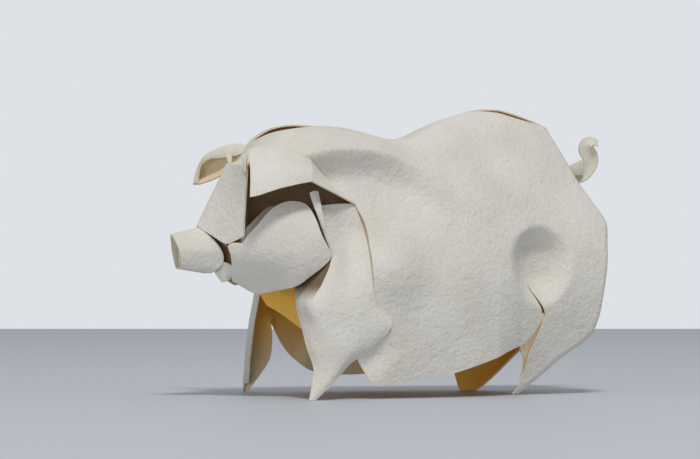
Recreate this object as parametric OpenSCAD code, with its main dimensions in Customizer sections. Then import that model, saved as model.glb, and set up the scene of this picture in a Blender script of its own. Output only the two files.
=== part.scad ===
// Origami pig, wet-folded from one sheet of heavy white paper.
// It stands on four pointed feet and faces -X. +Z is up, and Y = 0 is the middle of the body.
// Its lowest point is at Z = 0, and the origin lies under the middle of its length.

/* [Paper] */
// Thickness of the sheet
paper = 0.4; // [0.3:0.05:0.6]

/* [Body] */
// Length of the body, from the front of the neck to the rump
body_length = 99.5; // [85:0.5:115]
// Height of the rump's hump over the feet's points
body_height = 78.6; // [70:0.2:88]
// Width over the shoulders
body_width = 53; // [46:0.5:60]
// How far the back sinks between the shoulders and the rump
saddle_sink = 5.5; // [3:0.25:8]
// Depth of the thumb dent over each hind leg
thigh_dent = 6; // [3:0.2:7]
// Depth of the long dent behind each shoulder
shoulder_dent = 7.5; // [4:0.5:9]
// Widest gap between the two edges that meet along the rump
spine_gap = 1.2; // [0.6:0.1:1.8]
// How far the middle of the back end is folded in
rump_tuck = 4; // [2:0.5:7]

/* [Head] */
// Length of the face, from the neck to the snout
face_length = 15; // [12:0.5:19]
// Outward swell of each cheek
cheek_swell = 5; // [3:0.25:7]
// Length of the snout over its top
snout_length = 7; // [5:0.5:11]
// Width of the snout at its open end
snout_width = 7; // [5:0.25:9]
// How deep the snout's end is sunk
snout_sink = 2; // [1:0.25:4]
// How far the points of the ears stand out from the middle
ear_spread = 22; // [20:0.5:25]

/* [Legs] */
// Distance between the points of the front feet
front_stance = 56; // [50:0.5:62]
// Distance between the points of the hind feet
hind_stance = 33; // [28:0.5:38]
// Width of the flange folded in along the back of each hind leg
leg_flange = 6; // [4:0.5:8]

/* [Tail] */
// Width of the tail's strip
tail_strip = 3; // [2:0.1:3.6]
// Radius of the tail's curl
tail_curl = 2.9; // [2.2:0.1:3.6]

/* [Hidden] */

// Measures of the pig as first drawn, which the settings above stretch
base_length = 99.5;
base_height = 78.6;
base_width = 53;
neck_x = -41;
face_x = -56;

// Smooth curve through the points p, at place t from 0 to the last point's number
function curve(p, t) =
    let (n = len(p), i = min(max(floor(t), 0), n - 2), f = t - i)
    let (a = p[max(i - 1, 0)], b = p[i], c = p[i + 1], d = p[min(i + 2, n - 1)])
    0.5 * (2 * b + (c - a) * f + (2 * a - 5 * b + 4 * c - d) * f * f + (3 * b - a - 3 * c + d) * f * f * f);
// The same points joined by straight lines
function line(p, t) =
    let (i = min(max(floor(t), 0), len(p) - 2))
    p[i] + (p[i + 1] - p[i]) * (t - i);
function along(p, n, smooth) =
    [for (i = [0:n]) let (t = i * (len(p) - 1) / n) smooth ? curve(p, t) : line(p, t)];
function mix(a, b, t) = a + (b - a) * t;
function unit(v) = norm(v) < 0.000001 ? [0, 0, 1] : v / norm(v);
function bell(x, c, w) = exp(-pow((x - c) / w, 2));
function flip(g) = [for (j = [0:len(g[0]) - 1]) [for (i = [0:len(g) - 1]) g[i][j]]];
// A row of points made longer by a and b at its two ends
function reach(r, a, b) =
    let (n = len(r) - 1)
    [for (i = [0:n])
        i == 0 ? r[0] + a * unit(r[0] - r[1]) : i == n ? r[n] + b * unit(r[n] - r[n - 1]) : r[i]];
function widen(g, a, b, c, d) =
    flip([for (r = flip([for (q = g) reach(q, a, b)])) reach(r, c, d)]);

// The settings' stretch, the same for every panel, so that the panels stay joined
function go_x(x) =
    x > neck_x ? neck_x + (x - neck_x) * body_length / base_length
    : x > face_x ? neck_x + (x - neck_x) * face_length / 15
    : neck_x - face_length + (x - face_x) * snout_length / 7;
function go_z(z) = z * body_height / base_height;
function go_y(x, y, z) =
    let (side = sign(y), low = max(0, 1 - z / 20))
    let (front = (front_stance - 56) / 2 * low * low * (x < -5 ? 1 : 0))
    let (hind = (hind_stance - 33) / 2 * low * low * (x > 10 ? 1 : 0))
    y * mix(1, body_width / base_width, min(1, abs(y) / 12)) + side * (front + hind);
function go(p) = [go_x(p[0]), go_y(p[0], p[1], p[2]), go_z(p[2])];
function go_all(g) = [for (r = g) [for (p = r) go(p)]];

// Height of the back over x
back_line = [
    [-48, 64], [-41, 67.4], [-39.4, 69.4], [-35.1, 71.9], [-29.4, 73.1], [-22.7, 73.3], [-16.4, 72.8],
    [-10.5, 71.7], [-4.7, 70.4], [-0.3, 70], [4.2, 70.9], [8.6, 73], [14.6, 75.6], [22, 77.8], [26.5, 78.5],
    [31.1, 78.5], [34.1, 78], [40.2, 76.3], [46.6, 74], [62, 69]
];
function back_height(x) = lookup(x, back_line) + (5.5 - saddle_sink) * bell(x, -1, 8);
// Half the body's width over x
half_width = [
    [-48, 17], [-41, 20], [-30, 25], [-20, 26.3], [-10, 26.8], [5, 26.4], [18, 25.2], [30, 23.4], [40, 21.8],
    [50, 21], [58.5, 20.3], [64, 20]
];
// Where the two flanks' top edges stand apart, from 0 to 1
function parting(x) =
    x > 20 ? pow(max(0, sin(180 * min(1, (x - 20) / 27))), 1.4) : x < -22 ? max(0, sin(180 * min(1, (-22 - x) / 20))) : 0;
// Outline of the body's cross-section, from the back at t = 0 to its widest at t = 1
function section(t, r) =
    t >= 1 ? 1 - 0.2 * pow(t - 1, 2) : mix(1 - pow(1 - t, 1.75), pow(1 - pow(1 - t, 2.8), 1 / 2.8), r);
function squareness(x) = lookup(x, [[-41, 0.7], [-34, 1], [-8, 1], [2, 0.75], [12, 0.4], [26, 0.1], [60, 0.1]]);
// Height of the soft ridge that runs back from the ear over the shoulder dent
function ridge_z(x) = lookup(x, [[-31, 65], [-20, 67], [-7, 66], [3, 61], [11, 53.5], [16, 50]]);
// A hollow's depth over the distance q from its middle, from 1 to 0
function hollow(q) = q >= 1 ? 0 : pow(cos(90 * q), 2);
// Distance of the flank from the middle, at x and v, where v runs from 0 at the back to 1 at the floor
function flank_y(x, v) =
    let (top = back_height(x), z = top * (1 - v), w = lookup(x, half_width))
    let (d = ridge_z(x) - z - 12.5)
    let (dent = shoulder_dent * hollow(max(0, x + 7) / 23) * hollow(d < 0 ? -d / 11.5 : d / 24))
    let (flare = 1.7 * hollow(norm([(x + 9) / 13, (z - 34) / 13])))
    let (thumb = thigh_dent * hollow(pow(norm([(x - 36) / 9.6, (z - 36.5) / (z > 36.5 ? 9.2 : 13)]), 1.35)))
    let (lean = 6.5 * pow(max(0, 1 - z / 40), 1.5) * min(1, max(0, (x - 22) / 8)))
    w * section(v / 0.62, squareness(x)) - (dent + thumb - flare) * min(1, v * 10) - lean;
function flank_at(x, z) = flank_y(x, 1 - z / back_height(x));
// A point on the flank of side s, d further out
function on(s, x, z, d = 0) = [x, s * (flank_at(x, z) + d), z];
function flank_point(s, x, v) =
    let (p = parting(x), edge = max(0, 1 - v * 9))
    let (lift = (s < 0 ? -0.55 : 0.35) * p * edge * edge)
    [x, s * (flank_y(x, v) + (p * spine_gap / 2 - 0.14) * edge), back_height(x) * (1 - v) + lift];

// A sheet of paper laid over a grid of points
module sheet(g, w = paper) {
    m = len(g);
    n = len(g[0]);
    nrm = [for (i = [0:m - 1]) for (j = [0:n - 1])
        unit(cross(g[min(i + 1, m - 1)][j] - g[max(i - 1, 0)][j], g[i][min(j + 1, n - 1)] - g[i][max(j - 1, 0)]))];
    mid = [for (r = g) for (p = r) p];
    k = m * n;
    pts = concat([for (i = [0:k - 1]) mid[i] + nrm[i] * w / 2], [for (i = [0:k - 1]) mid[i] - nrm[i] * w / 2]);
    skin = [for (i = [0:m - 2]) for (j = [0:n - 2]) let (a = i * n + j) [a, a + n, a + n + 1, a + 1]];
    top = [for (q = skin) each [[q[0], q[2], q[1]], [q[0], q[3], q[2]]]];
    low = [for (q = skin) each [[k + q[0], k + q[1], k + q[2]], [k + q[0], k + q[2], k + q[3]]]];
    rim = concat([for (j = [0:n - 1]) j], [for (i = [1:m - 1]) i * n + n - 1],
        [for (j = [n - 2:-1:0]) (m - 1) * n + j], [for (i = [m - 2:-1:1]) i * n]);
    c = len(rim);
    side = [for (i = [0:c - 1]) let (a = rim[i], b = rim[(i + 1) % c]) each [[a, k + b, b], [a, k + a, k + b]]];
    polyhedron(concat(pts), concat(top, low, side));
}

// A panel through rows of points
module panel(rows, nu, nv, us = true, vs = true, grow = [0, 0, 0, 0]) {
    fine = [for (r = rows) along(r, nv, vs)];
    g = flip([for (r = flip(fine)) along(r, nu, us)]);
    sheet(go_all(widen(g, grow[0], grow[1], grow[2], grow[3])));
}

// A panel between two edges, swelling by the vector lift in its middle
module leaf(a, b, lift, nu, nv, smooth = true, grow = [0, 0, 0, 0]) {
    top = along(a, nu, smooth);
    low = along(b, nu, smooth);
    g = [for (i = [0:nu]) [for (j = [0:nv])
        let (t = j / nv) mix(top[i], low[i], t) + lift * 4 * t * (1 - t) * pow(sin(180 * i / nu), 0.7)]];
    sheet(go_all(widen(g, grow[0], grow[1], grow[2], grow[3])));
}

// The back end's fold edge and the back of the hind leg, seen from the side
rear_edge = [
    [46.6, 73.8], [49.1, 66.8], [51.6, 59.7], [55, 53.6], [58.5, 47.5], [57.7, 41.9], [56.9, 36.4], [55.8, 28.7], [54.7, 21.7],
    [53.3, 17.3]
];
heel = [[53.3, 17.3], [49.7, 14], [43.8, 10], [38.7, 5.7], [34.2, 2.2], [31, 0], [30.3, -0.6]];
near_leg_front = [
    [29.2, -0.6], [29.9, 0.4], [31.3, 2.7], [32.5, 6.3], [33.2, 10.7], [34.7, 14.2], [36, 17.8], [37.2, 20.5], [37.2, 22.7],
    [35.1, 26.5], [33.1, 29.8]
];
near_belly = [
    [32.9, 29.6], [34.6, 26.2], [36.3, 22.6], [36.1, 20.3], [34, 16.8], [30.6, 13.8], [26, 12.2], [18.8, 9.6], [7.8, 6.4],
    [-1.2, 5.1], [-10.3, 3.6], [-13.5, 3.5], [-15.2, 4.5], [-17.7, 8.2], [-19.4, 10.9]
];
far_leg_front = [[30, -0.6], [27.4, -0.6], [26.8, 4.5], [26, 8.5]];
far_belly = [[18.8, 7.6], [7.8, 5.4], [-4, 4.6], [-14, 5.7], [-19.1, 8.9], [-23, 13.2], [-26.9, 20.8]];
near_front = [
    [-15, 14.6], [-10.2, 18.3], [-11.3, 19.6], [-13.6, 23.6], [-15.2, 30.2], [-15.4, 38.2], [-15.3, 46.2], [-17.2, 52],
    [-30, 63.3], [-33.4, 63.7], [-39.9, 66.7], [-41, 67]
];
far_front = [
    [-24, 25], [-18, 32], [-15.4, 38.2], [-15.3, 46.2], [-17.2, 52], [-30, 63.3], [-33.4, 63.7], [-39.9, 66.7], [-41, 67]
];

module flank(s, outline) {
    nx = s < 0 ? 28 : 20;
    nv = s < 0 ? 17 : 13;
    g = [for (i = [0:nx]) [for (j = [0:nv])
        let (x = mix(-41.2, 59.5, i / nx), v = pow(j / nv, 1.45)) flank_point(s, x, v * 1.02)]];
    intersection() {
        sheet(go_all(g));
        rotate([90, 0, 0]) linear_extrude(100, center = true)
            polygon([for (p = concat([[-41, 95], [46.6, 95]], outline)) [go_x(p[0]), go_z(p[1])]]);
    }
}

module near_flank() {
    flank(-1, concat(rear_edge, heel, near_leg_front, near_belly, near_front));
}

module far_flank() {
    flank(1, concat(rear_edge, heel, far_leg_front, far_belly, far_front));
}

// The folded-in back end, between the two flanks' rear edges
module rump() {
    g = [for (p = rear_edge)
        let (y = max(0.4, flank_at(p[0], p[1])), k = min(1, (74 - p[1]) / 10), a = pow(max(0, 1 - p[1] / 40), 2) * 3)
        [[p[0], -y, p[1]], [p[0] - rump_tuck * 0.3 * k, -y * 0.6, p[1] + a * 4], [p[0] - rump_tuck * k, 0, p[1] + a * 7],
            [p[0] - rump_tuck * 0.3 * k, y * 0.6, p[1] + a * 4], [p[0], y, p[1]]]];
    sheet(go_all(widen(g, paper / 2, paper / 2, 0, 0)));
}

// The flange along the back of a hind leg
module hind_flange(s) {
    n = len(heel) - 1;
    g = [for (i = [0:n])
        let (p = heel[i], y = flank_at(p[0], p[1]), k = 1 - i / n, f = leg_flange * (0.16 + 0.84 * k))
        [[p[0], s * y, p[1]], [p[0] - 0.5 * k, s * (y - f / 2), p[1] + 0.8 * k],
            [p[0] - 1.2 * k, s * (y - f), p[1] + 1.6 * k + 0.2]]];
    sheet(go_all(widen(g, paper / 2, 0, paper / 2, 0)));
}

// The web between the belly's edge and the hind leg
function web(p, d) = [for (q = p) [q[0], d - flank_at(q[0], q[1]), q[1]]];
module gusset() {
    leaf(web([[37.6, 22.6], [36.9, 17.2], [34.6, 10.9], [32.7, 4.8]], 0.17),
        web([[35.9, 22.2], [30.6, 14.2], [32.1, 9.8], [31.8, 4.9]], 0.3), [0, 0, 0], 6, 3);
}

// Shoulder and front leg of the near side
module near_leg() {
    panel([
        [on(-1, -17.2, 52), [-22.2, -16.8, 52.6], [-28.2, -14.6, 54], [-30, -13, 54.4], [-31.5, -11, 54.6]],
        [on(-1, -14, 45.4, -0.6), [-19.6, -18.4, 45], [-26.6, -19, 46], [-29, -16.4, 46.3], [-31.5, -12.4, 46.6]],
        [on(-1, -14, 38, -0.6), [-19.4, -21.6, 37.8], [-25.1, -22.4, 37.7], [-28, -18.2, 38.6], [-31, -12.5, 39.6]],
        [on(-1, -13.8, 30.2, -0.5), [-20.6, -25.2, 30.5], [-28.6, -24.8, 30.8], [-31, -18.6, 31.8], [-32.2, -13, 32.4]],
        [on(-1, -13.4, 24.4, 0.1), [-22, -27, 24.7], [-32.2, -25, 24.9], [-33.2, -20, 25], [-32.8, -15.6, 25.1]],
        [on(-1, -10.9, 19.2, 0.2), [-21, -27.3, 19.3], [-29, -26.8, 19.5], [-32, -23.5, 19.7], [-32.9, -19.8, 19.9]],
        [on(-1, -15.6, 14, 0.4), [-21.5, -27.5, 14], [-27, -27.3, 14], [-31, -25.2, 14], [-32.5, -22.9, 14]],
        [on(-1, -21.7, 9.4, 0.4), [-24.2, -27.3, 9.2], [-27, -27.4, 9], [-29.6, -26.4, 8.8], [-31.3, -24.8, 8.7]],
        [[-26.3, -27.2, 5], [-27.6, -27.7, 5], [-29, -27.8, 5], [-30.5, -27.2, 5], [-31.9, -26, 5]],
        [[-29.5, -27.8, 2.4], [-30.3, -28, 2.4], [-31.1, -28, 2.4], [-31.9, -27.7, 2.4], [-32.7, -27, 2.4]],
        [[-32.6, -28.1, -0.6], [-32.8, -28.2, -0.6], [-33.1, -28.2, -0.6], [-33.4, -28.1, -0.6], [-33.8, -28, -0.6]]
    ], 20, 7, true, true, [0.5, 0, 0, 0]);
}

// Shoulder and front leg of the far side
module far_leg() {
    panel([
        [on(1, -17.2, 52), [-22.2, 16.8, 52.6], [-28.2, 14.6, 54], [-30, 13, 54.4], [-31.5, 11, 54.6]],
        [on(1, -15.3, 45.4), [-20.8, 18, 45], [-26.6, 18.2, 46], [-29, 15.6, 46.3], [-31.5, 12, 46.6]],
        [on(1, -15.4, 38), [-20, 21.8, 37.8], [-25.4, 21.6, 37.7], [-29, 18, 38], [-32.5, 13, 38.4]],
        [on(1, -18, 31.5), [-21.5, 25.6, 31.8], [-26.5, 23.6, 32.2], [-30.6, 19.4, 32.4], [-33.6, 14.6, 32.6]],
        [on(1, -24.2, 24.8), [-26.5, 25, 25.6], [-29.3, 24, 26.4], [-32, 20.4, 26.6], [-34.1, 16.4, 26.8]],
        [[-27.6, 22.6, 20.4], [-29, 23.8, 20.6], [-30.6, 24.4, 20.6], [-32.6, 22.6, 20.4], [-34.3, 19.6, 20.3]],
        [[-26.9, 24.2, 14.5], [-28.8, 25.8, 14.5], [-30.6, 26.2, 14.4], [-32.6, 24.8, 14.3], [-34.2, 22.4, 14.2]],
        [[-27, 25.6, 9.8], [-28.8, 26.8, 9.8], [-30.4, 27.2, 9.8], [-32.4, 26.4, 9.8], [-34, 24.6, 9.8]],
        [[-28.6, 26.4, 6.4], [-29.9, 27.2, 6.4], [-31.2, 27.5, 6.4], [-32.5, 27, 6.4], [-33.8, 25.8, 6.4]],
        [[-31.2, 27.4, 2.6], [-31.8, 27.8, 2.6], [-32.4, 28, 2.6], [-33.1, 27.7, 2.6], [-33.7, 27.2, 2.6]],
        [[-33, 28, -0.6], [-33.2, 28.1, -0.6], [-33.5, 28.1, -0.6], [-33.8, 28, -0.6], [-34.1, 27.9, -0.6]]
    ], 16, 6, true, true, [0.5, 0, 0, 0]);
}

// Outline of a cheek, seen from the side
cheek_edge = [
    [-50.3, 40.6], [-49.6, 41.5], [-47.3, 42], [-45.7, 44.8], [-41.8, 48.8], [-38, 51.2], [-34.6, 52], [-31.3, 50.7],
    [-29.7, 48.6], [-28.3, 45.4], [-26.7, 41.4], [-25, 38], [-26.9, 35.8], [-30.6, 32.7], [-33.5, 30], [-36.6, 28.6],
    [-39.4, 28], [-42.4, 29.2], [-44.6, 30.6], [-47.4, 31.6], [-48, 33.4], [-48.9, 36.6]
];
function cheek_y(x, z) =
    let (r = pow((x + 38) / 14.5, 2) + pow((z - 39.5) / 13.5, 2))
    let (chin = pow(max(0, 36 - z), 1.6) * 0.37 * min(1, max(0, (-35 - x) / 10)))
    7.6 + 0.55 * (x + 50) + (cheek_swell + 1) * (1 - r) - chin;
module cheek(s) {
    nx = 11;
    nz = 10;
    intersection() {
        sheet(go_all([for (i = [0:nx]) [for (j = [0:nz])
            let (x = mix(-52.4, -24.2, i / nx), z = mix(53, 27.4, j / nz)) [x, s * cheek_y(x, z), z]]]));
        rotate([90, 0, 0]) linear_extrude(100, center = true)
            polygon([for (p = cheek_edge) [go_x(p[0]), go_z(p[1])]]);
    }
}

// Face, with a soft ridge down its middle
module face() {
    c = function(x, z) cheek_y(x, z);
    panel([
        [[-46, -12.1, 62.1], [-46.6, -6, 62.5], [-47.4, 0, 62.9], [-45.4, 6, 62.6], [-42.9, 10.2, 62.3]],
        [[-46.1, -12.5, 57], [-47.8, -7, 56.6], [-50.3, 0, 57.1], [-47.2, 7, 56.6], [-44.6, 12, 57]],
        [[-46.3, -13, 50], [-49.3, -7.8, 49.8], [-53.2, 0, 51.7], [-49.3, 7.8, 49.8], [-46.3, 13, 50]],
        [[-46.9, -c(-46.9, 43), 43], [-50.3, -c(-50.3, 40.9), 40.9], [-56, 0, 46.2],
            [-50.3, c(-50.3, 40.9), 40.9], [-46.9, c(-46.9, 43), 43]]
    ], 3, 8, false, false, [0.2, 0.2, 0, 0.2]);
}

// The neck's inner layer, between the face, the ear and the shoulder
module neck(s) {
    panel([
        [[s < 0 ? -45.3 : -42.4, s * (s < 0 ? 11.6 : 9.6), 61.6], [-41.6, s * 7.4, 62.4], [-36, s * 10.6, 65], [-29.5, s * 13.4, 62.5], [-25.4, s * 15, 58],
            [-22.4, s * 16.4, 52.6]],
        [[s < 0 ? -45.9 : -44.9, s * 12.2, 54], [-43.2, s * 8, 54], [-37, s * 9, 53], [-31, s * 10, 52], [-26, s * 12.6, 50.4],
            [-21, s * 17.4, 46]],
        [[-46.8, s * 12.9, 43], [-44, s * 9.6, 40], [-38, s * 10.6, 38.5], [-32.4, s * 12.4, 37.5], [-27.4, s * 16, 37],
            [-20.4, s * 20.8, 37.6]]
    ], 5, 9, true, true, [0.2, 0.2, 0, 0]);
}

// Forehead, from the face's top to the neck
module forehead() {
    panel([
        [[-45.9, -12.1, 61.7], [-46.7, -6, 62.1], [-47.5, 0, 62.5], [-45.5, 6, 62.2], [-42.8, 10.2, 61.9]],
        [[-43.2, -10.8, 63.2], [-43.4, -5, 63.8], [-43.6, 0, 64], [-42.8, 5, 63.8], [-41.6, 8.8, 63.3]],
        [[-38.7, -9.9, 66.7], [-39.4, -5, 69], [-39.8, 0, 69.2], [-39.4, 5, 69], [-38.7, 9.7, 66.9]]
    ], 4, 8, true, false, [0, 0, 0.2, 0]);
}

// Near ear, folded down over the neck
module near_ear() {
    t = ear_spread;
    panel([
        [[-44.9, -11.4, 66.1], [-41.9, -10.7, 67.3], on(-1, -38.6, 67, 0.1), on(-1, -34.4, 65.2), on(-1, -30, 63.4)],
        [[-46.7, -18.4, 60], [-44.4, -18.6, 60.6], [-40, -19.4, 61.6], [-34.2, -22, 60.4], [-30.8, -22.4, 60.4]],
        [[-48, -t, 53.4], [-45.8, -t - 0.2, 53.8], [-39.8, -t - 0.6, 55.8], [-34.6, -t - 1, 57], [-31.4, -t - 1.3, 57.6]]
    ], 4, 8, true, false, [0, 0, 0.3, 0]);
}

// The neck's hood beside the ear, which covers the shoulder's top edge
module hood(s) {
    leaf([on(s, -30, 63.4), on(s, -23.6, 57.8, 0.1), on(s, -17.2, 52)],
        [[-31.4, s * 23.3, 57.6], [-24.6, s * 21.6, 54.8], on(s, -17.2, 51.6, 0.4)], [0, 0, 0], 6, 3, false, [0.3, 0, 0.1, 0.1]);
}

// Far ear, raised like a scoop
module far_ear() {
    t = ear_spread;
    leaf([[-39.2, 7, 68], [-41.7, 12, 68.6], [-44.9, 17, 67.5], [-47.7, 20.4, 65.1], [-49.2, t, 62.2], [-50.2, t, 58.1]],
        [[-41.9, 6.1, 62.7], [-43.1, 10.8, 61.3], [-44.2, 14.6, 60], [-45.5, 17.8, 58.9], [-47.3, 20.4, 58], [-49.8, t, 57.6]],
        [2.6, 3, 2.2], 10, 5, true, [0.3, 0, 0, 0]);
}

// Snout, an open tube with a sunk end
snout_ring = [[0, 1], [-0.62, 0.55], [-1, -0.1], [-0.72, -0.92], [0, -1], [0.72, -0.92], [1, -0.1], [0.62, 0.55]];
// Where the snout's back edge ends, from its underside to its top
snout_root = [[-1, -52.8], [-0.92, -52.2], [-0.55, -50.8], [-0.1, -51.3], [0.55, -53.3], [1, -55.3]];
module snout() {
    w = snout_width / 2;
    rim_z = 39.2;
    rows = [for (i = [0:4])
        let (t = i / 4)
        [for (j = [0:8])
            let (q = snout_ring[j % 8], x = mix(-62.2 - 0.9 * q[1] + 0.5 * abs(q[0]), lookup(q[1], snout_root), t))
            [x, q[0] * mix(w, 6.4, t), mix(rim_z, 39.6, t) + q[1] * mix(4.4, 6, t)]]];
    sheet(go_all(rows));
    hull() for (e = [0, 0.5])
        translate([go_x(-62.2) + snout_sink + e, 0, go_z(rim_z)]) rotate([90, 0, -90]) linear_extrude(0.01)
            polygon([for (q = snout_ring) [q[0] * w * 1.03, q[1] * 4.5]]);
}

// Chin and lower lip, under the snout and between the cheeks
module chin() {
    c = function(x, z) cheek_y(x, z);
    panel([
        [[-59, -2.2, 34.6], [-59, 0, 34.4], [-59, 2.2, 34.6]],
        [[-55.8, -3, 34.3], [-55.8, 0.3, 34], [-55.8, 3, 34.3]],
        [[-52.4, -3.4, 34.2], [-52.3, 0.4, 33.3], [-52.4, 3.4, 34.2]],
        [[-50, -4, 31.2], [-49.6, 0.3, 31.2], [-50, 4, 31.2]],
        [[-47.8, -7, 31.9], [-47, 0, 33], [-47.8, 7, 32.3]],
        [[-44.6, -c(-44.6, 30.9), 30.9], [-44.4, 0, 33.5], [-44.6, c(-44.6, 31.2), 31.2]],
        [[-39.4, -c(-39.4, 28.6), 28.6], [-40, 0, 32.4], [-39.4, c(-39.4, 28.9), 28.9]],
        [[-34.4, -c(-34.4, 30.1), 30.1], [-36, 0, 33], [-34.4, c(-34.4, 30.4), 30.4]]
    ], 12, 6, true, true, [0.2, 0.2, 0, 0]);
}

// Tail, a twisted strip
module tail() {
    c = [[46.2, 0, 61.8], [52, 0.2, 61.2], [56.6, 0.2, 61], [59.3, 0, 62.2], [60.7, -0.2, 64.2], [60.6, -0.3, 66.2],
        [59.1, -0.3, 68], [58.8, -0.5, 69.5], [60, -0.9, 70.5], [61.3, -1.2, 70.3], [62.4, -1.4, 69.7]];
    n = 20;
    path = along(c, n, true);
    q = [for (p = path) [go_x(58.6) + (p[0] - 58.6) * tail_curl / 2.9, p[1], go_z(64) + (p[2] - 64) * tail_curl / 2.9]];
    for (i = [0:n - 1])
        hull() for (j = [i, i + 1]) {
            d = unit(q[min(j + 1, n)] - q[max(j - 1, 0)]);
            twist = 10 + 42 * j / n;
            o = (cos(twist) * [-d[2], 0, d[0]] + [0, sin(twist), 0]) * (j > 16 ? tail_strip * 0.75 : tail_strip) / 2;
            for (e = [-1, 1]) translate(q[j] + e * o) sphere(d = paper * 1.5, $fn = 4);
        }
    hull() {
        translate([go_x(50), 0.4, go_z(62.4)]) sphere(d = paper * 1.6, $fn = 4);
        translate([go_x(54.6), -0.8, go_z(64.6)]) sphere(d = paper * 1.6, $fn = 4);
        translate([go_x(57), -0.2, go_z(65)]) sphere(d = paper * 1.4, $fn = 4);
        translate([go_x(57), 0, go_z(62.6)]) sphere(d = paper * 1.4, $fn = 4);
    }
}

module folded_pig() {
    color([0.9, 0.88, 0.83]) difference() {
        union() {
            near_flank();
            far_flank();
            rump();
            for (s = [-1, 1]) {
                hind_flange(s);
                cheek(s);
                neck(s);
                hood(s);
            }
            gusset();
            near_leg();
            far_leg();
            face();
            forehead();
            near_ear();
            far_ear();
            snout();
            chin();
            tail();
        }
        translate([-200, -200, -10]) cube([400, 400, 10]);
    }
}

folded_pig();
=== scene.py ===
"""Looks of the folded paper pig: one sheet of heavy, wet-folded ivory paper, built as thin curved panels.

Lengths in the tables are millimetres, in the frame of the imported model. Meshes are made in metres.
Where a function takes s, it is -1 on the side near the photo's camera (-Y) and 1 on the far side.
"""
import math

import bpy
import numpy as np
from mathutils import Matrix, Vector, noise
from mathutils.geometry import delaunay_2d_cdt


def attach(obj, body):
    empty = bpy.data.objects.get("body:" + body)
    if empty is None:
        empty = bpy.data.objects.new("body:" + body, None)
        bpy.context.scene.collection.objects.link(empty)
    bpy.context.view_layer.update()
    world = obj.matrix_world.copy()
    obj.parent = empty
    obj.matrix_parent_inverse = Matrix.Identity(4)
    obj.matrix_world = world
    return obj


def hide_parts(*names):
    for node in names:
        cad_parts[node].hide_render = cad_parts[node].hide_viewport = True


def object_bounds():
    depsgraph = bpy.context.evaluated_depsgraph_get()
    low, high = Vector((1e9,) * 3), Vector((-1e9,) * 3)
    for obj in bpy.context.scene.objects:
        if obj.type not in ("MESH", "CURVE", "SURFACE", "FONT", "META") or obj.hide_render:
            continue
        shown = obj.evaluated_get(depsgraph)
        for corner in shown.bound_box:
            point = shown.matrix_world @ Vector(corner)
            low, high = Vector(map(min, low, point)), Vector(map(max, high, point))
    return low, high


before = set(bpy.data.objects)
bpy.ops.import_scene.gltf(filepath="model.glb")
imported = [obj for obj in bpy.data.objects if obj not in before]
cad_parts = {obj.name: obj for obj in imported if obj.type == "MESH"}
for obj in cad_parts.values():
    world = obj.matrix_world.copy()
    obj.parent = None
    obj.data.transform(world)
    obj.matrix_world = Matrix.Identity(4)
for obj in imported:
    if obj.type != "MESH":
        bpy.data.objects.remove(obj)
cad_box = [list(map(float, c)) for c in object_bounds()]

MM = 0.001
PAPER = 0.4  # thickness of the sheet
BOX_LOW, BOX_HIGH = (np.array(c) / MM for c in cad_box)
SIDES = ((-1, "near"), (1, "far"))


# ---- materials ----

ROUGHNESS, SPECULAR, SHEEN = 0.82, 0.25, 0.05
# Noise cells in a metre: the two of the colour, and the two of the relief with their heights in metres
CLOUD_CELLS, FLECK_CELLS = 70, 1500
BROAD_CELLS, FELT_CELLS = 420, 940
BROAD_HEIGHT, FELT_HEIGHT = 0.00024, 0.0003
FLECK_SHARE = 0.35
# The colour noise's values where the paper is darkest and lightest
DARK_AT, LIGHT_AT = 0.525, 0.825


def srgb(r, g, b):
    def lin(c):
        c /= 255.0
        return c / 12.92 if c <= 0.04045 else ((c + 0.055) / 1.055) ** 2.4
    return (lin(r), lin(g), lin(b), 1.0)


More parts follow.
